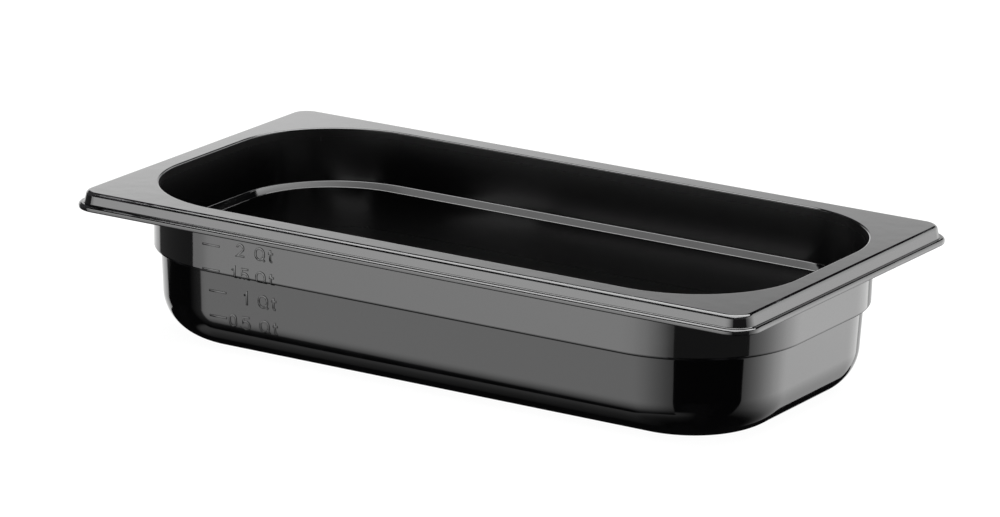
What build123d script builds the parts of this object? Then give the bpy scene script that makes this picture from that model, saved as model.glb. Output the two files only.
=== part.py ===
from build123d import *
from math import radians, tan
import os

# A shallow one-third size food pan, injection moulded in opaque polycarbonate.
# Millimetres, +Z up, long side along X. The origin is the centre of the underside.

os.makedirs("parts", exist_ok=True)

# ---- Rim: the flat top plate, its turned-down skirt and the lip at the skirt's foot ----
DEPTH = 65.0               # underside to top face
RIM_LENGTH = 325.0
RIM_WIDTH = 176.0
RIM_CORNER = 11.4          # corner radius of the lip, seen from above
LIP_FOOT_Z = 57.5          # underside of the lip
LIP_TOP_Z = 60.0           # where the lip meets the skirt
LIP_STAND = 2.3            # how far the lip stands out from the skirt
LIP_LAND = 4.6             # width of the lip's foot
LIP_TOP_ROUND = 1.1
LIP_FOOT_ROUND = 0.7
NECK_ROUND = 0.4           # hollow where the lip meets the skirt
SKIRT_LEAN = 12.5          # degrees, the skirt's outside leans in towards the top plate
CHANNEL_LEAN = 10.0        # degrees, the skirt's inside
CHANNEL_ROUND = 0.8        # inside corner of the skirt and the plate
ROOT_ROUND = 1.5           # under the plate, where the basin hangs from it
TOP_ROUND = 1.7            # outer edge of the top plate
MOUTH_ROUND = 0.7          # inner edge of the top plate

# ---- Basin: a wide band above the stacking shoulder and a narrower well below it ----
WALL = 2.5
SHOULDER_Z = 37.5          # underside of the stacking shoulder
BAND_LENGTH = 303.2        # outside of the band at the shoulder
BAND_WIDTH = 152.5
BAND_CORNER = 52.0
BAND_DRAFT = 1.14          # degrees
WELL_LENGTH = 295.8        # outside of the well at the shoulder
WELL_WIDTH = 143.2
WELL_CORNER = 45.0
WELL_DRAFT = 3.2           # degrees
FLOOR_ROUND = 19.5         # outside radius between wall and floor
SHOULDER_ROUND = 1.2       # outside, the band's lower edge
THROAT_ROUND = 1.0         # outside, where the shoulder meets the well
LEDGE_DROP = 0.7           # inside, the ledge's edge lies this much below an even wall
LEDGE_RISE = 1.95          # and the ledge slopes up from it to the band by this much
LEDGE_ROOT_ROUND = 0.55    # inside, where the band's wall meets the ledge
LEDGE_NOSE_ROUND = 0.55    # inside, where the ledge turns down into the well

# ---- Volume scale: ticks and figures raised on the outside of one long wall ----
# Each mark: its tick's height and its figures' foot above the underside, then the right end
# of its number and the left end of its unit along X.
SCALE_MARKS = {
    "0.5": (17.4, 14.0, -82.0, -77.4),
    "1": (28.4, 24.9, -83.0, -77.9),
    "1.5": (39.1, 36.7, -79.0, -75.8),
    "2": (49.8, 47.0, -81.4, -76.2),
}
UNIT = "Qt"
RELIEF = 0.25              # how far the marks stand out from the wall
STROKE = 0.85              # width of a raised line
FIGURE_HEIGHT = 5.8
FIGURE_WIDTH = 3.9
FLAG = 1.3                 # the short stroke of the figure one
UNIT_WIDTH = 5.0           # the unit's capital
FIGURE_GAP = 1.0
TICK_LENGTH = 8.5
TICK_X = -98.0             # middle of the ticks
PEN_PLANE_Y = -80.0        # the marks are drawn in front of the wall
PEN_REACH = 15.0           # and pushed this far into it before they are trimmed

PLATE_FOOT_Z = DEPTH - WALL
PEN = STROKE / 2
PEN_TOP = FIGURE_HEIGHT - PEN
PEN_RIGHT = FIGURE_WIDTH - PEN


def level(length, width, corner, grow, z):
    """A rounded rectangle at one height, its outline moved outwards by grow."""
    with BuildSketch(Plane.XY.offset(z)) as sketch:
        RectangleRounded(length + 2 * grow, width + 2 * grow, corner + grow)
    return sketch.sketch


def basin(grow, band_round, nose_round, top_z, drop=0.0, rise=0.0):
    """The basin as one full solid, each of its faces moved outwards by grow.

    The step between band and well is flat. With drop and rise, the well's top lies lower and the
    step slopes up from it to the band.
    """
    step_z = SHOULDER_Z - grow - drop
    root_z = step_z + rise
    band_grow = grow + (root_z - SHOULDER_Z) * tan(radians(BAND_DRAFT))
    well_grow = grow + (step_z - SHOULDER_Z) * tan(radians(WELL_DRAFT))
    band_foot = level(BAND_LENGTH, BAND_WIDTH, BAND_CORNER, band_grow, root_z)
    well_top = level(WELL_LENGTH, WELL_WIDTH, WELL_CORNER, well_grow, step_z)
    with BuildPart() as solid:
        extrude(well_top, amount=-grow - step_z, taper=WELL_DRAFT)
        fillet(solid.edges().group_by(Axis.Z)[0], FLOOR_ROUND + grow)
        if rise:
            loft([well_top.face(), band_foot.face()], ruled=True)
        extrude(band_foot, amount=top_z - root_z, taper=-BAND_DRAFT)
        foot = band_foot.face().outer_wire().edges()
        fillet(edges_along(solid, foot), band_round)
        nose = well_top.face().outer_wire().edges()
        fillet(edges_along(solid, nose), nose_round)
    return solid.part


def edges_along(solid, drawn):
    """The solid's edges whose middles lie on the drawn ones."""
    middles = [edge @ 0.5 for edge in drawn]
    return [
        edge for edge in solid.edges()
        if any((edge @ 0.5 - middle).length < 0.01 for middle in middles)
    ]


def rounded_ring(width):
    """An upright oval ring of one stroke, its lower left corner at the origin."""
    with BuildSketch() as figure:
        with Locations((width / 2, FIGURE_HEIGHT / 2)):
            SlotOverall(FIGURE_HEIGHT, width, rotation=90)
            SlotOverall(
                FIGURE_HEIGHT - STROKE * 2, width - STROKE * 2, rotation=90, mode=Mode.SUBTRACT
            )
    return figure.sketch


def figure_point():
    with BuildSketch() as figure:
        with Locations((PEN, PEN)):
            Circle(PEN)
    return figure.sketch


def figure_one():
    with BuildSketch() as figure:
        with BuildLine():
            Polyline((PEN, PEN_TOP - FLAG), (PEN + FLAG, PEN_TOP), (PEN + FLAG, 0))
        trace(line_width=STROKE)
    return figure.sketch


def figure_two():
    bowl = (PEN_RIGHT - PEN) / 2
    with BuildSketch() as figure:
        with BuildLine():
            arc = CenterArc((PEN + bowl, PEN_TOP - bowl), bowl, 170, -205)
            Polyline(arc @ 1, (PEN, PEN), (FIGURE_WIDTH, PEN))
        trace(line_width=STROKE)
    return figure.sketch


def figure_five():
    waist = PEN_TOP * 0.58
    with BuildSketch() as figure:
        with BuildLine():
            Polyline((PEN_RIGHT, PEN_TOP), (PEN, PEN_TOP), (PEN, waist))
            ThreePointArc((PEN, waist), (PEN_RIGHT, waist / 2 + PEN / 2), (PEN, PEN))
        trace(line_width=STROKE)
    return figure.sketch


def letter_q():
    tail = UNIT_WIDTH / 3
    with BuildSketch() as figure:
        add(rounded_ring(UNIT_WIDTH))
        with BuildLine():
            Line((UNIT_WIDTH - tail, tail), (UNIT_WIDTH, 0))
        trace(line_width=STROKE)
    return figure.sketch


def letter_t():
    stem = FIGURE_WIDTH / 4 + PEN
    hook = FIGURE_WIDTH / 4
    with BuildSketch() as figure:
        with BuildLine():
            Line((stem, FIGURE_HEIGHT * 0.95), (stem, PEN + hook))
            CenterArc((stem + hook, PEN + hook), hook, 180, 90)
        trace(line_width=STROKE)
        with BuildLine():
            Line((PEN, FIGURE_HEIGHT * 0.68), (2 * stem, FIGURE_HEIGHT * 0.68))
        trace(line_width=STROKE)
    return figure.sketch


FIGURES = {
    "0": rounded_ring(FIGURE_WIDTH),
    ".": figure_point(),
    "1": figure_one(),
    "2": figure_two(),
    "5": figure_five(),
    "Q": letter_q(),
    "t": letter_t(),
}


def placed_figures(text, foot, left=None, right=None):
    """Adds a row of figures to the open sketch, from its left end or up to its right end."""
    widths = [FIGURES[mark].bounding_box().max.X for mark in text]
    if left is None:
        left = right - sum(widths) - FIGURE_GAP * (len(text) - 1)
    for mark, width in zip(text, widths):
        with Locations((left, foot)):
            add(FIGURES[mark])
        left += width + FIGURE_GAP


outside = basin(0, SHOULDER_ROUND, THROAT_ROUND, PLATE_FOOT_Z)
cavity = basin(-WALL, LEDGE_ROOT_ROUND, LEDGE_NOSE_ROUND, DEPTH, LEDGE_DROP, LEDGE_RISE)
relief_skin = basin(RELIEF, SHOULDER_ROUND + RELIEF, THROAT_ROUND - RELIEF, PLATE_FOOT_Z)

# ---- The pan ----
with BuildPart() as pan:
    # The lip, then the skirt and top plate standing on it, both as full blocks.
    with BuildSketch(Plane.XY.offset(LIP_FOOT_Z)):
        RectangleRounded(RIM_LENGTH, RIM_WIDTH, RIM_CORNER)
    extrude(amount=LIP_TOP_Z - LIP_FOOT_Z)
    fillet(pan.edges().group_by(Axis.Z)[0], LIP_FOOT_ROUND)
    fillet(pan.edges().group_by(Axis.Z)[-1], LIP_TOP_ROUND)
    with BuildSketch(Plane.XY.offset(LIP_TOP_Z)):
        RectangleRounded(
            RIM_LENGTH - 2 * LIP_STAND, RIM_WIDTH - 2 * LIP_STAND, RIM_CORNER - LIP_STAND
        )
    extrude(amount=DEPTH - LIP_TOP_Z, taper=SKIRT_LEAN)
    fillet(pan.edges().group_by(Axis.Z)[-1], TOP_ROUND)
    lip_top = pan.faces().filter_by(Axis.Z).sort_by(Axis.Z)[1]
    fillet(lip_top.inner_wires()[0].edges(), NECK_ROUND)

    # The open channel between the skirt and the basin.
    with BuildSketch(Plane.XY.offset(LIP_FOOT_Z)):
        RectangleRounded(
            RIM_LENGTH - 2 * LIP_LAND, RIM_WIDTH - 2 * LIP_LAND, RIM_CORNER - LIP_LAND
        )
    extrude(amount=PLATE_FOOT_Z - LIP_FOOT_Z, taper=CHANNEL_LEAN, mode=Mode.SUBTRACT)

    # The basin hangs from the plate and is then hollowed.
    add(outside)
    plate_foot = pan.faces().filter_by(Axis.Z).group_by(Axis.Z)[-2].sort_by(SortBy.AREA)[-1]
    fillet(plate_foot.inner_wires()[0].edges(), ROOT_ROUND)
    plate_foot = pan.faces().filter_by(Axis.Z).group_by(Axis.Z)[-2].sort_by(SortBy.AREA)[-1]
    fillet(plate_foot.outer_wire().edges(), CHANNEL_ROUND)
    add(cavity, mode=Mode.SUBTRACT)
    top_face = pan.faces().filter_by(Axis.Z).sort_by(Axis.Z)[-1]
    fillet(top_face.inner_wires()[0].edges(), MOUTH_ROUND)

pan.part.label = "pan"
export_step(pan.part, "parts/pan.step")

# ---- The volume scale, drawn flat and trimmed to a thin skin that follows the wall ----
with BuildPart() as volume_scale:
    with BuildSketch(Plane(origin=(0, PEN_PLANE_Y, 0), x_dir=(1, 0, 0), z_dir=(0, -1, 0))):
        for number, (tick_z, foot_z, number_end, unit_start) in SCALE_MARKS.items():
            with Locations((TICK_X, tick_z)):
                Rectangle(TICK_LENGTH, STROKE)
            placed_figures(number, foot_z, right=number_end)
            placed_figures(UNIT, foot_z, left=unit_start)
    extrude(amount=-PEN_REACH)
    add(relief_skin, mode=Mode.INTERSECT)
    add(outside, mode=Mode.SUBTRACT)

volume_scale.part.label = "volume_scale"
export_step(volume_scale.part, "parts/volume_scale.step")
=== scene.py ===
from math import asin, cos, degrees, pi, radians, sin, tan

import bmesh
import bpy
from mathutils import Matrix, Quaternion, Vector


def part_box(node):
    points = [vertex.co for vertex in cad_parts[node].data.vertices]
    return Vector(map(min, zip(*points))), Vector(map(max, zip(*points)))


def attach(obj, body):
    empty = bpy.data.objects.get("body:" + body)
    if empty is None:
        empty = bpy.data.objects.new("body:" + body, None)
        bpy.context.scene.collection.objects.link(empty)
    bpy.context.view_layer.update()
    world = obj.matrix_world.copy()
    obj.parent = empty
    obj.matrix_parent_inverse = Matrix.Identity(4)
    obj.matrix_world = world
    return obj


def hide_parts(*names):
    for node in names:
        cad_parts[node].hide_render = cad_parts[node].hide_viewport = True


bl_info = {
    "name": "Deli food pan",
    "version": (1, 0, 0),
    "blender": (4, 5, 0),
    "location": "3D View > Sidebar > Food pan",
    "description": "Builds a moulded one-third size food pan, its volume scale and a small studio",
    "category": "Add Mesh",
}

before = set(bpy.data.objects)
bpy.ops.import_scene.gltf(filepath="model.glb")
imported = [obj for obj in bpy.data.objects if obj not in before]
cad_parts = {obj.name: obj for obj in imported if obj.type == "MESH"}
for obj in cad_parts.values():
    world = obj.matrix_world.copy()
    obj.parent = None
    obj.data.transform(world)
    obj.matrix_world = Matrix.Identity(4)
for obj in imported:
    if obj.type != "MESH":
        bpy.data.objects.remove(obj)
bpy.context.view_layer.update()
PAN_LOW, PAN_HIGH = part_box("pan")
PAN_LENGTH = PAN_HIGH.x - PAN_LOW.x
PAN_WIDTH = PAN_HIGH.y - PAN_LOW.y
PAN_DEPTH = PAN_HIGH.z - PAN_LOW.z
MM = 0.001


# ---- Settings a user would change ----

def length(name, description, millimetres):
    """A length property, given in millimetres."""
    return bpy.props.FloatProperty(
        name=name, description=description, default=millimetres * MM, min=0.0,
        unit="LENGTH", precision=4,
    )


def angle(name, description, degrees):
    """An angle property, given in degrees."""
    return bpy.props.FloatProperty(
        name=name, description=description, default=radians(degrees), unit="ROTATION",
    )


def share(name, description, value, low=0.0, high=1.0):
    """A plain number between two limits."""
    return bpy.props.FloatProperty(
        name=name, description=description, default=value, min=low, max=high,
    )


def colour(name, description, value):
    """A linear RGB colour."""
    return bpy.props.FloatVectorProperty(
        name=name, description=description, default=value, subtype="COLOR", size=3, min=0.0,
        max=1.0,
    )


class PanRimSettings(bpy.types.PropertyGroup):
    """The top plate, its skirt and the lip at the skirt's foot."""

    corner: length("Lip corner", "Corner radius of the lip, seen from above", 11.4)
    lip_height: length("Lip height", "Height of the lip, up to the skirt", 2.5)
    rim_height: length("Rim height", "From the lip's foot to the top face", 7.5)
    lip_stand: length("Lip stand", "How far the lip stands out from the skirt", 2.3)
    lip_land: length("Lip land", "Width of the lip's foot", 4.6)
    lip_top_round: length("Lip top round", "Rounding on top of the lip", 1.1)
    lip_foot_round: length("Lip foot round", "Rounding under the lip", 0.7)
    lip_inner_round: length("Lip inner round", "Rounding of the foot's inner edge", 0.25)
    neck_round: length("Neck round", "Hollow where the lip meets the skirt", 0.4)
    skirt_lean: angle("Skirt lean", "Lean of the skirt's outside", 12.5)
    channel_lean: angle("Channel lean", "Lean of the skirt's inside", 10.0)
    channel_round: length("Channel round", "Inside corner of skirt and plate", 0.8)
    root_round: length("Root round", "Under the plate, at the basin", 1.5)
    top_round: length("Top round", "Outer edge of the top plate", 1.7)
    mouth_round: length("Mouth round", "Inner edge of the top plate", 0.7)


class PanBasinSettings(bpy.types.PropertyGroup):
    """The band above the stacking shoulder and the well below it."""

    wall: length("Wall", "Thickness of walls, floor and plate", 2.5)
    shoulder_height: length("Shoulder height", "Underside of the stacking shoulder", 37.5)
    band_length: length("Band length", "Outside of the band at the shoulder", 303.2)
    band_width: length("Band width", "Outside of the band at the shoulder", 152.5)
    band_corner: length("Band corner", "Corner radius of the band", 52.0)
    band_draft: angle("Band draft", "Draft of the band's walls", 1.14)
    well_length: length("Well length", "Outside of the well at the shoulder", 295.8)
    well_width: length("Well width", "Outside of the well at the shoulder", 143.2)
    well_corner: length("Well corner", "Corner radius of the well", 45.0)
    well_draft: angle("Well draft", "Draft of the well's walls", 3.2)
    floor_round: length("Floor round", "Outside radius between wall and floor", 19.5)
    shoulder_round: length("Shoulder round", "Outside, the band's lower edge", 1.2)
    throat_round: length("Throat round", "Outside, under the shoulder", 1.0)
    ledge_drop: length("Ledge drop", "How far the ledge's edge lies below an even wall", 0.7)
    ledge_rise: length("Ledge rise", "How far the inner ledge slopes up to the band", 1.95)
    ledge_root_round: length("Ledge root round", "Inside, above the ledge", 0.55)
    ledge_nose_round: length("Ledge nose round", "Inside, the ledge's own edge", 0.55)
    gate_radius: length("Gate dimple", "Radius of the dimple round the moulding gate", 8.0)
    gate_depth: length("Gate depth", "Depth of that dimple", 0.35)
    gate_stub: length("Gate stub", "Radius of the trimmed gate", 1.3)


class PanFinishSettings(bpy.types.PropertyGroup):
    """The black polycarbonate."""

    body: colour("Body colour", "Colour of the plastic", (0.0008, 0.0008, 0.0009))
    food_body: colour("Food side colour", "Colour inside, washed dull", (0.0018, 0.0018, 0.0019))
    scuffed: colour("Scuff colour", "Colour where the gloss is rubbed", (0.011, 0.011, 0.012))
    index: share("Refractive index", "Of polycarbonate", 1.585, 1.0, 2.5)
    gloss: share("Roughness", "Roughness of the moulded gloss", 0.045)
    food_gloss: share("Food side roughness", "Roughness that washing adds inside", 0.25)
    relief_round: length("Relief round", "Rounding of the raised marks' edges", 0.09)


class StudioSettings(bpy.types.PropertyGroup):
    """The camera and the light."""

    azimuth: angle("Azimuth", "Camera's turn from straight in front, towards +X", 31.26)
    elevation: angle("Elevation", "Camera's height above the horizon", 16.01)
    roll: angle("Roll", "Turn of the camera about its own axis", 1.29)
    distance: length("Distance", "From the camera to the pan", 2528.0)
    aim_x: bpy.props.FloatProperty(
        name="Aim X", description="Aim point, from the pan's middle", default=-4.2 * MM,
        unit="LENGTH",
    )
    aim_z: bpy.props.FloatProperty(
        name="Aim Z", description="Aim point, from the pan's middle", default=9.5 * MM,
        unit="LENGTH",
    )
    lens: bpy.props.FloatProperty(
        name="Lens", description="Focal length on a 36 mm sensor, in millimetres", default=218.1,
    )
    floor_colour: colour("Floor", "How much of the light the floor returns", (0.05, 0.05, 0.05))
    floor_glow: share("Floor glow", "The floor's own light, which keeps it pale", 0.97)
    floor_size: length("Floor size", "Width of the floor", 16000.0)


def settings():
    """The settings as the panel holds them."""
    return bpy.context.scene.food_pan


class FoodPanSettings(bpy.types.PropertyGroup):
    """All settings of the food pan."""

    rim: bpy.props.PointerProperty(type=PanRimSettings, name="Rim", description="Rim")
    basin: bpy.props.PointerProperty(type=PanBasinSettings, name="Basin", description="Basin")
    finish: bpy.props.PointerProperty(type=PanFinishSettings, name="Finish", description="Finish")
    studio: bpy.props.PointerProperty(type=StudioSettings, name="Studio", description="Studio")


# ---- Shader maths ----

class Value:
    """A shader socket that takes part in plain Python arithmetic."""

    def __init__(self, shader, socket):
        self.shader = shader
        self.socket = socket

    def maths(self, operation, first, second):
        return self.shader.node(
            "ShaderNodeMath", {"operation": operation}, {0: first, 1: second}
        )

    def __add__(self, other):
        return self.maths("ADD", self, other)

    def __radd__(self, other):
        return self.maths("ADD", other, self)

    def __sub__(self, other):
        return self.maths("SUBTRACT", self, other)

    def __rsub__(self, other):
        return self.maths("SUBTRACT", other, self)

    def __mul__(self, other):
        return self.maths("MULTIPLY", self, other)

    def __rmul__(self, other):
        return self.maths("MULTIPLY", other, self)


class Shader:
    """A node tree that is filled one node at a time."""

    def __init__(self, tree):
        self.tree = tree
        self.tree.nodes.clear()

    def node(self, kind, options=None, inputs=None, output=0):
        """Adds a node, sets its options, then its sockets' values or links."""
        made = self.tree.nodes.new(kind)
        for name, option in (options or {}).items():
            setattr(made, name, option)
        for name, given in (inputs or {}).items():
            socket = self.socket(made.inputs, name)
            if isinstance(given, Value):
                self.tree.links.new(given.socket, socket)
            else:
                socket.default_value = given
        return None if output is None else Value(self, self.socket(made.outputs, output))

    def socket(self, sockets, name):
        """The enabled socket of that name or number."""
        if isinstance(name, int):
            return sockets[name]
        return next(s for s in sockets if s.name == name and s.enabled)

    def place(self, scale=(1.0, 1.0, 1.0), turn=(0.0, 0.0, 0.0)):
        """Object coordinates, scaled and turned."""
        return self.node(
            "ShaderNodeMapping", None,
            {
                "Vector": self.node("ShaderNodeTexCoord", output="Object"),
                "Scale": scale,
                "Rotation": turn,
            },
        )

    def noise(self, where, scale, detail=2.0, roughness=0.5):
        """Soft noise between 0 and 1."""
        return self.node(
            "ShaderNodeTexNoise", None,
            {"Vector": where, "Scale": scale, "Detail": detail, "Roughness": roughness},
            output="Fac",
        )

    def ramp(self, value, low, high):
        """0 below low, 1 above high, smooth between them."""
        return self.node(
            "ShaderNodeMapRange", {"interpolation_type": "SMOOTHSTEP"},
            {"Value": value, "From Min": low, "From Max": high},
        )

    def attribute(self, name):
        """A number that the mesh carries."""
        return self.node("ShaderNodeAttribute", {"attribute_name": name}, output="Fac")

    def mix(self, factor, first, second):
        """A blend of two colours."""
        return self.node(
            "ShaderNodeMix", {"data_type": "RGBA"},
            {"Factor": factor, "A": first, "B": second}, output="Result",
        )


def rgba(value):
    """The colour with full opacity."""
    return (*value, 1.0)


def new_material(name):
    """An empty material, and the shader that fills it."""
    material = bpy.data.materials.new(name)
    material.use_nodes = True
    return material, Shader(material.node_tree)


# ---- The plastic ----

# Noise, in waves to the metre.
DRIFT_SCALE = 9.0
PATCH_SCALE = 70.0
PATCH_DETAIL = 4.0
PATCH_FINENESS = 0.6       # how strong its finer layers are
GRAIN_SCALE = 2600.0
RIPPLE_SCALE = 120.0
HAIRLINE_STRETCH = (22.0, 1500.0, 22.0)
HAIRLINE_TURNS = ((0.0, 0.0, 0.35), (0.6, 0.3, -0.6), (1.4, 0.7, 1.9))   # radians

# The noise values between which each mark fades in.
HAIRLINE_FADE = (0.70, 0.78)
SCUFF_FADE = (0.50, 0.72)
RUBBED_FADE = (0.42, 0.66)
OUTSIDE_SCUFFS = 0.15      # the share of the inside's scuffs that the outside has

# How far each mark moves the colour towards the scuff colour.
RUBBED_TINT = 0.55
SCUFF_TINT = 0.5

# What each adds to the roughness.
DRIFT_ROUGHNESS = 0.015
PATCH_ROUGHNESS = 0.01
RUBBED_ROUGHNESS = 0.12
SCUFF_ROUGHNESS = 0.08

# Relief, as shares of the ripple's height.
GRAIN_HEIGHT = 0.006
SCUFF_DEPTH = 0.10
RELIEF_STRENGTH = 0.10
RELIEF_DISTANCE = 0.1 * MM


def moulded_plastic(name):
    """Glossy black polycarbonate, a little rubbed on its edges and lightly scuffed."""
    finish = settings().finish
    material, shader = new_material(name)
    worn_edge = shader.attribute("worn_edge")
    food_side = shader.attribute("food_side")

    drift = shader.noise(shader.place(), DRIFT_SCALE)
    patches = shader.noise(shader.place(), PATCH_SCALE, PATCH_DETAIL, PATCH_FINENESS)
    grain = shader.noise(shader.place(), GRAIN_SCALE)
    ripple = shader.noise(shader.place(), RIPPLE_SCALE, 1.0)

    hairlines = 0.0
    for turn in HAIRLINE_TURNS:
        streaks = shader.noise(shader.place(HAIRLINE_STRETCH, turn), 1.0, 1.0)
        hairlines = shader.ramp(streaks, *HAIRLINE_FADE) + hairlines
    scuffed_share = OUTSIDE_SCUFFS + (1.0 - OUTSIDE_SCUFFS) * food_side
    scuffs = hairlines * shader.ramp(patches, *SCUFF_FADE) * scuffed_share
    rubbed = worn_edge * shader.ramp(patches, *RUBBED_FADE)

    plain = shader.mix(food_side, rgba(finish.body), rgba(finish.food_body))
    tint = rubbed * RUBBED_TINT + scuffs * SCUFF_TINT
    base = shader.mix(tint, plain, rgba(finish.scuffed))
    roughness = (
        finish.gloss + DRIFT_ROUGHNESS * drift + PATCH_ROUGHNESS * patches
        + RUBBED_ROUGHNESS * rubbed + SCUFF_ROUGHNESS * scuffs + finish.food_gloss * food_side
    )
    height = ripple + grain * GRAIN_HEIGHT - scuffs * SCUFF_DEPTH
    normal = shader.node(
        "ShaderNodeBump", None,
        {"Height": height, "Strength": RELIEF_STRENGTH, "Distance": RELIEF_DISTANCE},
    )
    surface = shader.node(
        "ShaderNodeBsdfPrincipled", None,
        {
            "Base Color": base,
            "Roughness": roughness,
            "IOR": finish.index,
            "Normal": normal,
        },
    )
    shader.node("ShaderNodeOutputMaterial", None, {"Surface": surface}, output=None)
    return material


# ---- The pan's section ----

GUARD = 0.15 * MM          # from each rounding to the row beside it, which keeps the flat flat
SIDE_GUARD = 1.2 * MM      # the same along the sides, from each corner of the outline
LARGE_ARC = 5.0 * MM
SMALL_ARC_STEPS = 8
LARGE_ARC_STEPS = 30
CORNER_STEPS = 40
ASIDE = 6.0 * MM           # how far off a level stretch's end point lies, which only aims it


class Outline:
    """A rounded rectangle seen from above, from which rows are offset."""

    def __init__(self, full_length, full_width, corner):
        self.centre_x = full_length / 2 - corner
        self.centre_y = full_width / 2 - corner
        self.corner = corner


def rounding(before, corner, after, radius):
    """Rows of the arc that rounds a corner of the section, with one guard row at each end."""
    arrive = (corner - before).normalized()
    leave = (after - corner).normalized()
    half_turn = asin(min(1.0, (leave - arrive).length / 2))
    reach = radius * tan(half_turn)
    start = corner - arrive * reach
    inward = (leave - arrive).normalized()
    centre = corner + inward * (radius / cos(half_turn))
    way = 1.0 if arrive.cross(leave) > 0 else -1.0
    steps = LARGE_ARC_STEPS if radius > LARGE_ARC else SMALL_ARC_STEPS
    rows = [start - arrive * GUARD]
    for step in range(steps + 1):
        turned = Matrix.Rotation(way * 2 * half_turn * step / steps, 2) @ (start - centre)
        rows.append(centre + turned)
    rows.append(corner + leave * (reach + GUARD))
    return rows


def ledge_foot(basin):
    """The height of the inner ledge's lower edge."""
    return basin.shoulder_height + basin.wall - basin.ledge_drop


def section():
    """The pan's wall in section, from the middle of the inner floor round the rim to the underside.

    Each entry is (outline, offset, height, wear): a row of the mesh, offset outwards from its
    outline, and how far its edge is rubbed.
    """
    rim, basin = settings().rim, settings().basin
    band_lean = tan(basin.band_draft)
    well_lean = tan(basin.well_draft)
    shoulder = basin.shoulder_height
    ledge = ledge_foot(basin)
    ledge_top = ledge + basin.ledge_rise
    ledge_width = (
        basin.band_length + basin.band_width - basin.well_length - basin.well_width
    ) / 4
    lip_foot = PAN_DEPTH - rim.rim_height
    lip_top = lip_foot + rim.lip_height
    plate_foot = PAN_DEPTH - basin.wall
    skirt_top = -rim.lip_stand - (PAN_DEPTH - lip_top) * tan(rim.skirt_lean)
    channel_top = -rim.lip_land - (plate_foot - lip_foot) * tan(rim.channel_lean)
    floor_start = -basin.floor_round - ASIDE

    def outer_band(z):
        return (z - shoulder) * band_lean

    def outer_well(z):
        return (z - shoulder) * well_lean

    def inner_band(z):
        return outer_band(z) - basin.wall

    def inner_well(z):
        return outer_well(z) - basin.wall

    rim_outline = Outline(PAN_LENGTH, PAN_WIDTH, rim.corner)
    band_outline = Outline(basin.band_length, basin.band_width, basin.band_corner)
    well_outline = Outline(basin.well_length, basin.well_width, basin.well_corner)

    # Each stretch: its outline, then (offset, height, radius, wear) at every corner.
    stretches = (
        (well_outline, (
            (floor_start, basin.wall, 0.0, 0.0),
            (inner_well(basin.wall), basin.wall, basin.floor_round - basin.wall, 0.0),
            (inner_well(ledge), ledge, basin.ledge_nose_round, 0.6),
            (inner_well(ledge) + ledge_width, ledge_top, 0.0, 0.0),
        )),
        (band_outline, (
            (inner_band(ledge_top) - ledge_width, ledge, 0.0, 0.0),
            (inner_band(ledge_top), ledge_top, basin.ledge_root_round, 0.0),
            (inner_band(PAN_DEPTH), PAN_DEPTH, rim.mouth_round, 0.8),
            (inner_band(PAN_DEPTH) + ASIDE, PAN_DEPTH, 0.0, 0.0),
        )),
        (rim_outline, (
            (skirt_top - ASIDE, PAN_DEPTH, 0.0, 0.0),
            (skirt_top, PAN_DEPTH, rim.top_round, 1.0),
            (-rim.lip_stand, lip_top, rim.neck_round, 0.0),
            (0.0, lip_top, rim.lip_top_round, 0.8),
            (0.0, lip_foot, rim.lip_foot_round, 1.0),
            (-rim.lip_land, lip_foot, rim.lip_inner_round, 0.0),
            (channel_top, plate_foot, rim.channel_round, 0.0),
            (channel_top - ASIDE, plate_foot, 0.0, 0.0),
        )),
        (band_outline, (
            (outer_band(plate_foot) + ASIDE, plate_foot, 0.0, 0.0),
            (outer_band(plate_foot), plate_foot, rim.root_round, 0.0),
            (outer_band(shoulder), shoulder, basin.shoulder_round, 0.8),
            (outer_band(shoulder) - ASIDE, shoulder, 0.0, 0.0),
        )),
        (well_outline, (
            (outer_well(shoulder) + ASIDE, shoulder, 0.0, 0.0),
            (outer_well(shoulder), shoulder, basin.throat_round, 0.0),
            (outer_well(0.0), 0.0, basin.floor_round, 0.12),
            (floor_start, 0.0, 0.0, 0.0),
        )),
    )
    rows = []
    for outline, corners in stretches:
        points = [Vector((offset, height)) for offset, height, _, _ in corners]
        for index in range(1, len(corners) - 1):
            arc = rounding(
                points[index - 1], points[index], points[index + 1], corners[index][2]
            )
            for place, point in enumerate(arc):
                on_arc = 0 < place < len(arc) - 1
                wear = corners[index][3] if on_arc else 0.0
                rows.append((outline, point.x, point.y, wear))
    return rows


# ---- Mesh work ----

def corner_groups(verts):
    """The vertices of a row, by the corner of the pan that they belong to."""
    for sign_x in (-1, 1):
        for sign_y in (-1, 1):
            group = [v for v in verts if v.co.x * sign_x > 0 and v.co.y * sign_y > 0]
            yield sign_x, sign_y, group


def move_row(mesh, verts, row_from, row_to):
    """Moves a row's corners to the next row's place, which also sets their radius."""
    outline_from, offset_from, height_from, _ = row_from
    outline_to, offset_to, height_to, _ = row_to
    scale = (outline_to.corner + offset_to) / (outline_from.corner + offset_from)
    for sign_x, sign_y, group in corner_groups(verts):
        centre_from = Vector(
            (sign_x * outline_from.centre_x, sign_y * outline_from.centre_y, height_from)
        )
        centre_to = Vector(
            (sign_x * outline_to.centre_x, sign_y * outline_to.centre_y, height_to)
        )
        place = (
            Matrix.Translation(centre_to)
            @ Matrix.Diagonal((scale, scale, 1.0, 1.0))
            @ Matrix.Translation(-centre_from)
        )
        bmesh.ops.transform(mesh, matrix=place, verts=group)


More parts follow.
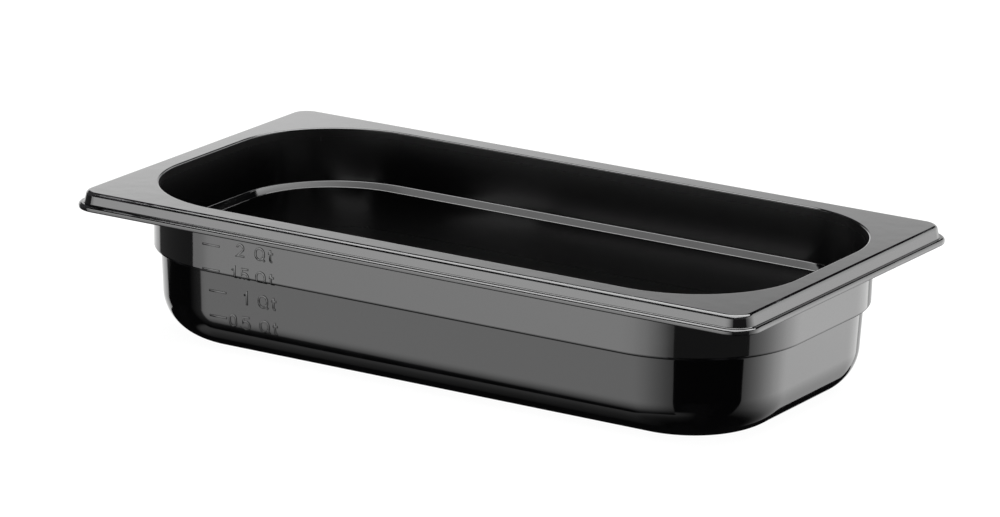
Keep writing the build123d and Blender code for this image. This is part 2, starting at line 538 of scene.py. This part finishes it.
def guard_sides(mesh):
    """Splits each straight side of the first row a little way from its roundings."""
    for side in [edge for edge in mesh.edges if edge.calc_length() > LARGE_ARC]:
        near, far = side.verts
        _, guard = bmesh.utils.edge_split(side, near, SIDE_GUARD / side.calc_length())
        rest = next(edge for edge in guard.link_edges if far in edge.verts)
        bmesh.utils.edge_split(rest, far, SIDE_GUARD / rest.calc_length())


def first_row(mesh, row):
    """The inner floor: a rectangle with rounded corners."""
    outline, offset, height, _ = row
    radius = outline.corner + offset
    bmesh.ops.create_grid(mesh, x_segments=1, y_segments=1, size=1.0)
    stretch = Matrix.Diagonal((outline.centre_x + radius, outline.centre_y + radius, 1.0, 1.0))
    bmesh.ops.transform(
        mesh, matrix=Matrix.Translation((0, 0, height)) @ stretch, verts=mesh.verts
    )
    bmesh.ops.bevel(
        mesh, geom=list(mesh.verts), offset=radius, offset_type="OFFSET", affect="VERTICES",
        segments=CORNER_STEPS, profile=0.5, material=-1,
    )
    guard_sides(mesh)
    return list(mesh.edges)


def next_ring(mesh, edges):
    """Extrudes a closed ring of edges on the spot, and returns the new ring's parts."""
    made = bmesh.ops.extrude_edge_only(mesh, edges=edges)["geom"]
    verts = {part for part in made if isinstance(part, bmesh.types.BMVert)}
    ring = [
        part for part in made
        if isinstance(part, bmesh.types.BMEdge) and verts.issuperset(part.verts)
    ]
    return list(verts), ring


def close_underside(mesh, ring, basin):
    """The underside's floor, with the shallow dimple and the trimmed stub of the gate."""
    circle = bmesh.ops.create_circle(mesh, segments=len(ring), radius=basin.gate_radius)["verts"]
    circle_edges = list({edge for vert in circle for edge in vert.link_edges})
    bmesh.ops.bridge_loops(mesh, edges=ring + circle_edges)
    depth = basin.gate_depth
    soft = depth / 3
    # The dimple's rings from its rim inwards, as (radius, height), then those of the gate's stub.
    rings = (
        (basin.gate_radius - soft * 0.5, soft * 0.3),
        (basin.gate_radius - soft * 1.5, depth - soft * 0.5),
        (basin.gate_radius - soft * 3.0, depth),
        (basin.gate_stub + soft * 2.0, depth),
        (basin.gate_stub + soft * 0.5, depth - soft * 0.3),
        (basin.gate_stub, depth - soft),
        (basin.gate_stub - soft * 0.5, soft),
    )
    radius, height, edges = basin.gate_radius, 0.0, circle_edges
    for next_radius, next_height in rings:
        verts, edges = next_ring(mesh, edges)
        scale = next_radius / radius
        bmesh.ops.scale(mesh, vec=(scale, scale, 1.0), verts=verts)
        bmesh.ops.translate(mesh, vec=(0, 0, next_height - height), verts=verts)
        radius, height = next_radius, next_height
    bmesh.ops.edgeloop_fill(mesh, edges=edges)


def finish_piece(mesh, name, node, material):
    """Turns a bmesh into the piece that stands for a CAD node."""
    data = bpy.data.meshes.new(name)
    mesh.to_mesh(data)
    mesh.free()
    data.materials.append(material)
    piece = bpy.data.objects.new(name, data)
    bpy.context.scene.collection.objects.link(piece)
    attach(piece, "root")
    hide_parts(node)


# ---- Operators ----

MERGE = MM / 1000
FLAT_ANGLE = radians(2)        # below it, the scale's neighbouring triangles are one face
FRONT_FACING = -0.6            # the Y of a normal that faces forwards
FRONT_EDGE_ANGLE = radians(40)
SMOOTH_ANGLE = radians(50)


class FOODPAN_OT_pan(bpy.types.Operator):
    """Builds the moulded pan: floor, walls, stacking shoulder, top plate, skirt and lip"""

    bl_idname = "foodpan.pan"
    bl_label = "Moulded pan"

    def execute(self, context):
        mesh = bmesh.new()
        worn_edge = mesh.verts.layers.float.new("worn_edge")
        food_side = mesh.verts.layers.float.new("food_side")
        rows = section()
        edges = first_row(mesh, rows[0])
        for vert in mesh.verts:
            vert[food_side] = 1.0
        basin = settings().basin
        glossy_low = ledge_foot(basin) - basin.ledge_nose_round
        glossy_high = ledge_foot(basin) + basin.ledge_rise + basin.ledge_root_round
        inside = True
        for row, following in zip(rows, rows[1:]):
            verts, edges = next_ring(mesh, edges)
            move_row(mesh, verts, row, following)
            inside = inside and following[2] < PAN_DEPTH - settings().rim.mouth_round
            on_ledge = glossy_low < following[2] < glossy_high
            for vert in verts:
                vert[worn_edge] = following[3]
                vert[food_side] = float(inside and not on_ledge)
        close_underside(mesh, edges, basin)
        bmesh.ops.recalc_face_normals(mesh, faces=mesh.faces)
        for face in mesh.faces:
            face.smooth = True
        finish_piece(mesh, "moulded_pan", "pan", moulded_plastic("black_polycarbonate"))
        return {"FINISHED"}


class FOODPAN_OT_scale(bpy.types.Operator):
    """Softens the edges of the raised ticks and figures of the volume scale"""

    bl_idname = "foodpan.scale"
    bl_label = "Volume scale"

    def execute(self, context):
        mesh = bmesh.new()
        mesh.from_mesh(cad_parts["volume_scale"].data)
        bmesh.ops.remove_doubles(mesh, verts=mesh.verts, dist=MERGE)
        bmesh.ops.dissolve_limit(
            mesh, angle_limit=FLAT_ANGLE, verts=mesh.verts, edges=mesh.edges
        )
        front_edges = []
        for edge in mesh.edges:
            fronts = [face for face in edge.link_faces if face.normal.y < FRONT_FACING]
            if len(fronts) == 1 and edge.calc_face_angle(0.0) > FRONT_EDGE_ANGLE:
                front_edges.append(edge)
        bmesh.ops.bevel(
            mesh, geom=front_edges, offset=settings().finish.relief_round,
            offset_type="OFFSET", affect="EDGES", segments=2, profile=0.5, material=-1,
        )
        for face in mesh.faces:
            face.smooth = True
        for edge in mesh.edges:
            edge.smooth = edge.calc_face_angle(0.0) < SMOOTH_ANGLE
        finish_piece(
            mesh, "raised_scale", "volume_scale", moulded_plastic("black_polycarbonate_relief")
        )
        return {"FINISHED"}


# ---- Studio ----

# The glowing cards: the share of each card's glow by azimuth, and its glow by elevation, in
# degrees. Azimuth 0 is straight in front and 90 is +X.
FRONT_ACROSS = (
    (-52, 0.56), (-46, 0.60), (-40, 0.68), (-34, 0.92), (-30, 1.0), (-18, 0.96), (-6, 0.81),
    (6, 0.53), (16, 0.25), (19.5, 0.17),
)
FRONT_UPWARD = ((-19.5, 3.3), (-17.5, 3.4), (4, 5.2), (9.5, 5.2))
FRONT_LOW_ACROSS = (
    (-62, 0.0), (-50, 0.07), (-44.8, 0.09), (-44.2, 0.75), (-40, 0.92), (-34, 1.0),
    (-30, 0.98), (-18, 0.83), (-6, 0.61), (6, 0.40), (13.5, 0.30),
)
FRONT_LOW_UPWARD = (
    (-54, 0.0), (-50, 0.12), (-46, 0.50), (-42, 0.95), (-38, 1.30), (-34, 1.70), (-28, 2.05),
    (-19.5, 2.15),
)
FOOT_ACROSS = ((-115, 0.0), (-90, 0.6), (-70, 1.0), (10, 0.95), (24, 0.6), (42, 0.0))
FOOT_UPWARD = (
    (-80, 0.0), (-72, 0.03), (-64, 0.08), (-60, 0.14), (-54, 0.34), (-49, 0.36), (-45, 0.0),
)
RIGHT_ACROSS = (
    (88.5, 0.27), (96, 0.40), (108, 0.62), (120, 0.86), (132, 1.0), (144, 0.97), (156, 0.84),
    (168, 0.70), (179, 0.62),
)
RIGHT_UPWARD = (
    (-58, 0.0), (-54, 0.04), (-50, 0.18), (-46, 0.38), (-42, 0.70), (-38, 1.0), (-34, 1.33),
    (-30, 1.73), (-26, 2.15), (-21, 2.75), (-18, 3.33), (30, 3.3),
)
BACK_ACROSS = (
    (-181, 0.75), (-153, 0.78), (-150, 0.86), (-147, 1.03), (-144, 1.2), (-111, 1.1),
    (-107, 0.4),
)
BACK_UPWARD = ((-25, 1.0), (0, 1.4), (14, 1.75), (15, 1.65), (16.5, 1.0), (19, 0.2))
LEFT_WALL_ACROSS = ((-106, 1.0), (-50, 1.0))
LEFT_WALL_UPWARD = ((-18.3, 0.12), (50, 0.12))
RIGHT_WALL_ACROSS = ((18, 1.0), (89, 1.0))
RIGHT_WALL_UPWARD = ((-19.6, 0.12), (50, 0.12))
NEAR_CARD = 10.0           # metres from the pan
FAR_CARD = 11.0
CARD_STEP = 2.0            # degrees between the rows of a curved card
CARDS = (
    ("front_card", FRONT_ACROSS, FRONT_UPWARD, NEAR_CARD),
    ("front_low_card", FRONT_LOW_ACROSS, FRONT_LOW_UPWARD, NEAR_CARD),
    ("foot_card", FOOT_ACROSS, FOOT_UPWARD, FAR_CARD),
    ("right_card", RIGHT_ACROSS, RIGHT_UPWARD, NEAR_CARD),
    ("back_card", BACK_ACROSS, BACK_UPWARD, NEAR_CARD),
    ("left_wall", LEFT_WALL_ACROSS, LEFT_WALL_UPWARD, FAR_CARD),
    ("right_wall", RIGHT_WALL_ACROSS, RIGHT_WALL_UPWARD, FAR_CARD),
)

# The flat light above the pan, in metres and radians.
LIGHT_TURN = radians(-10.0)
LIGHT_SHIFT = 0.35         # towards the back, along its long side
LIGHT_HEIGHT = 3.0
LIGHT_SIZE = (3.9, 5.3)
LIGHT_GLOW = 8.0

# The painted shadow under the pan's foot: a black sheet that only the gloss sees, standing in for
# the shaded floor there.
SHADOW_SHEET_DROP = 0.3 * MM        # below the underside
SHADOW_SHEET_INSET = 14.0 * MM      # from the well's outline at the shoulder, both sides together
SHADOW_SHEET_WIDTH = 24.0 * MM

ROOM_GREY = 0.004          # the dark room that the gloss sees between the cards
SENSOR_WIDTH = 36.0        # millimetres
CLIP = (0.05, 50.0)        # metres


def direction(azimuth, elevation):
    """A unit vector from the pan, by azimuth and elevation in degrees."""
    turn, rise = radians(azimuth), radians(elevation)
    return Vector((sin(turn) * cos(rise), -cos(turn) * cos(rise), sin(rise)))


def pan_middle():
    """The middle of the pan's height, over the middle of its underside."""
    return Vector((0.0, 0.0, (PAN_LOW.z + PAN_HIGH.z) / 2))


def between(stops, place):
    """The value at a place between the stops, which are (place, value) in rising order."""
    for (low, at_low), (high, at_high) in zip(stops, stops[1:]):
        if place <= high:
            return at_low + (at_high - at_low) * max(0.0, place - low) / (high - low)
    return stops[-1][1]


def stage_object(mesh, name, material):
    """Turns a bmesh into an object of the studio."""
    data = bpy.data.meshes.new(name)
    mesh.to_mesh(data)
    mesh.free()
    data.materials.append(material)
    made = bpy.data.objects.new(name, data)
    bpy.context.scene.collection.objects.link(made)
    return made


def curved_card(name, across, upward, distance):
    """A curved card round the pan, which glows on it and in its gloss but isn't seen itself."""
    mesh = bmesh.new()
    glow = mesh.verts.layers.float.new("glow")
    left, right, foot, top = across[0][0], across[-1][0], upward[0][0], upward[-1][0]
    columns = max(1, round((right - left) / CARD_STEP))
    rows = max(1, round((top - foot) / CARD_STEP))
    bmesh.ops.create_grid(mesh, x_segments=columns, y_segments=rows, size=0.5)
    for vert in mesh.verts:
        azimuth = left + (right - left) * (vert.co.x + 0.5)
        elevation = foot + (top - foot) * (vert.co.y + 0.5)
        vert[glow] = between(across, azimuth) * between(upward, elevation)
        vert.co = pan_middle() + direction(azimuth, elevation) * distance
    material, shader = new_material(name)
    light = shader.node("ShaderNodeEmission", None, {"Color": shader.attribute("glow")})
    shader.node("ShaderNodeOutputMaterial", None, {"Surface": light}, output=None)
    card = stage_object(mesh, name, material)
    card.visible_camera = False
    card.visible_shadow = False


def overhead_light():
    """A flat soft light above the pan, turned and then shifted towards the back."""
    light = bpy.data.lights.new("overhead_light", "AREA")
    light.shape = "RECTANGLE"
    width, depth = LIGHT_SIZE
    light.size, light.size_y = width, depth
    light.energy = pi * width * depth * LIGHT_GLOW
    box = bpy.data.objects.new("overhead_light", light)
    bpy.context.scene.collection.objects.link(box)
    turned = Matrix.Rotation(LIGHT_TURN, 3, "Z")
    box.location = pan_middle() + turned @ Vector((0.0, LIGHT_SHIFT, LIGHT_HEIGHT))
    box.rotation_euler = (0.0, 0.0, LIGHT_TURN)
    box.visible_camera = False


def painted_shadow_sheet(basin):
    """A dark ring-shaped sheet round the pan's foot, which only the gloss sees: a painted shadow,
    standing in for the shaded floor that the gloss would mirror there.
    """
    mesh = bmesh.new()
    bmesh.ops.create_grid(mesh, x_segments=1, y_segments=1, size=0.5)
    size = (basin.well_length - SHADOW_SHEET_INSET, basin.well_width - SHADOW_SHEET_INSET, 1.0)
    bmesh.ops.scale(mesh, vec=size, verts=mesh.verts)
    bmesh.ops.translate(mesh, vec=(0, 0, -SHADOW_SHEET_DROP), verts=mesh.verts)
    middle = list(mesh.faces)
    bmesh.ops.inset_region(mesh, faces=middle, thickness=SHADOW_SHEET_WIDTH)
    bmesh.ops.delete(mesh, geom=middle, context="FACES")
    material, shader = new_material("painted_foot_shadow")
    # black, which the gloss mirrors as the painted shadow at the pan's foot
    dark = shader.node("ShaderNodeBsdfDiffuse", None, {"Color": rgba((0.0,) * 3)})
    shader.node("ShaderNodeOutputMaterial", None, {"Surface": dark}, output=None)
    shadow_sheet = stage_object(mesh, "painted_foot_shadow", material)
    for ray in ("camera", "diffuse", "transmission", "volume_scatter", "shadow"):
        setattr(shadow_sheet, "visible_" + ray, False)


def pale_floor(studio):
    """A plain pale floor that the pan's gloss doesn't mirror."""
    mesh = bmesh.new()
    bmesh.ops.create_grid(mesh, x_segments=1, y_segments=1, size=studio.floor_size / 2)
    material, shader = new_material("pale_floor")
    matt = shader.node("ShaderNodeBsdfDiffuse", None, {"Color": rgba(studio.floor_colour)})
    glow = shader.node("ShaderNodeEmission", None, {"Strength": studio.floor_glow})
    lit = shader.node("ShaderNodeAddShader", None, {0: matt, 1: glow})
    clear = shader.node("ShaderNodeBsdfTransparent")
    from_below = shader.node("ShaderNodeNewGeometry", output="Backfacing")
    surface = shader.node("ShaderNodeMixShader", None, {0: from_below, 1: lit, 2: clear})
    shader.node("ShaderNodeOutputMaterial", None, {"Surface": surface}, output=None)
    floor = stage_object(mesh, "floor", material)
    floor.visible_glossy = False
    floor.visible_shadow = False


def dim_world():
    """Pale where the camera looks past the floor, and a dark room to everything else."""
    world = bpy.data.worlds.new("studio")
    bpy.context.scene.world = world
    world.use_nodes = True
    shader = Shader(world.node_tree)
    seen = shader.node("ShaderNodeLightPath", output="Is Camera Ray")
    room = shader.node("ShaderNodeBackground", None, {"Color": rgba((ROOM_GREY,) * 3)})
    pale = shader.node("ShaderNodeBackground", None, {"Color": rgba((1.0,) * 3)})
    surface = shader.node("ShaderNodeMixShader", None, {0: seen, 1: room, 2: pale})
    shader.node("ShaderNodeOutputWorld", None, {"Surface": surface}, output=None)


def studio_camera(studio):
    """The camera with its long lens, which looks down a little on the pan."""
    camera = bpy.data.objects.new("camera", bpy.data.cameras.new("camera"))
    bpy.context.scene.collection.objects.link(camera)
    camera.data.sensor_width = SENSOR_WIDTH
    camera.data.lens = studio.lens
    camera.data.clip_start, camera.data.clip_end = CLIP
    back = direction(degrees(studio.azimuth), degrees(studio.elevation))
    aim = pan_middle() + Vector((studio.aim_x, 0.0, studio.aim_z))
    camera.rotation_mode = "QUATERNION"
    level = (-back).to_track_quat("-Z", "Y")
    camera.rotation_quaternion = level @ Quaternion((0, 0, 1), studio.roll)
    camera.location = aim + back * studio.distance
    bpy.context.scene.camera = camera


class FOODPAN_OT_studio(bpy.types.Operator):
    """Sets up the pale floor, the soft light and the camera"""

    bl_idname = "foodpan.studio"
    bl_label = "Studio"

    def execute(self, context):
        studio = settings().studio
        pale_floor(studio)
        dim_world()
        for card in CARDS:
            curved_card(*card)
        overhead_light()
        # the painted shadow at the pan's foot: a black sheet that only the gloss sees
        painted_shadow_sheet(settings().basin)
        studio_camera(studio)
        context.scene.view_settings.view_transform = "Standard"
        return {"FINISHED"}


class FOODPAN_PT_panel(bpy.types.Panel):
    """The food pan's settings and steps"""

    bl_idname = "FOODPAN_PT_panel"
    bl_label = "Food pan"
    bl_space_type = "VIEW_3D"
    bl_region_type = "UI"
    bl_category = "Food pan"

    def draw(self, context):
        for group in (settings().rim, settings().basin, settings().finish, settings().studio):
            box = self.layout.box()
            for name in group.__annotations__:
                box.prop(group, name)
        for step in STEPS:
            self.layout.operator(step.bl_idname)


STEPS = (FOODPAN_OT_pan, FOODPAN_OT_scale, FOODPAN_OT_studio)
GROUPS = (PanRimSettings, PanBasinSettings, PanFinishSettings, StudioSettings, FoodPanSettings)
CLASSES = GROUPS + STEPS + (FOODPAN_PT_panel,)


def register():
    for cls in CLASSES:
        bpy.utils.register_class(cls)
    bpy.types.Scene.food_pan = bpy.props.PointerProperty(type=FoodPanSettings)


def unregister():
    del bpy.types.Scene.food_pan
    for cls in reversed(CLASSES):
        bpy.utils.unregister_class(cls)


def main():
    register()
    bpy.ops.foodpan.pan()
    bpy.ops.foodpan.scale()
    bpy.ops.foodpan.studio()


if __name__ == "__main__":
    main()
